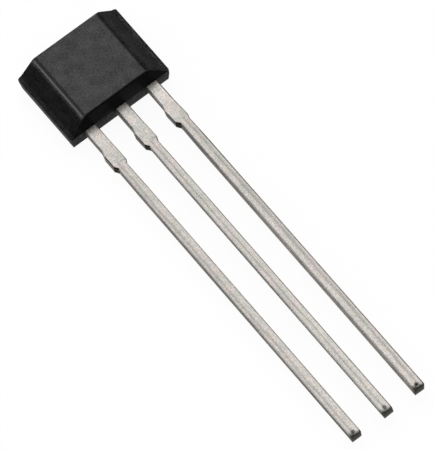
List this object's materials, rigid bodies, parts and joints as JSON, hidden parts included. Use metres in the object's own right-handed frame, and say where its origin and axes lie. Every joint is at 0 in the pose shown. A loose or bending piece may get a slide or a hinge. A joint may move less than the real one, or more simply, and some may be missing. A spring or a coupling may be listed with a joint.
{
  "type": "hall effect sensor",
  "caption": "Small flat moulded magnetic field sensor with a bevelled sensing face and a row of long straight tin-plated leads.",
  "frame": {"origin": "centre of the back face of the package, on which the part lies", "axes": "+Z out of the bare sensing face, +X from lead 1 to lead 3, and the leads point along -Y"},
  "size_m": [0.0042, 0.0173, 0.0015],
  "materials": {
    "epoxy_moulding": "black silica-filled epoxy as it leaves the mould: matt, faintly mottled",
    "tinned_lead": "matt tin plating on stamped copper alloy, fine lengthwise streaks, bare dark metal at the cut tips",
    "silicon": "polished silicon",
    "die_adhesive": "silver-filled die-attach adhesive",
    "gold_wire": "bright gold"
  },
  "bodies": {
    "root": {"package_body": "epoxy_moulding", "supply_lead": "tinned_lead", "ground_lead": "tinned_lead", "output_lead": "tinned_lead", "hall_chip": "silicon", "chip_adhesive": "die_adhesive", "supply_bond_wire": "gold_wire", "ground_bond_wire": "gold_wire", "output_bond_wire": "gold_wire"}
  },
  "joints": []
}
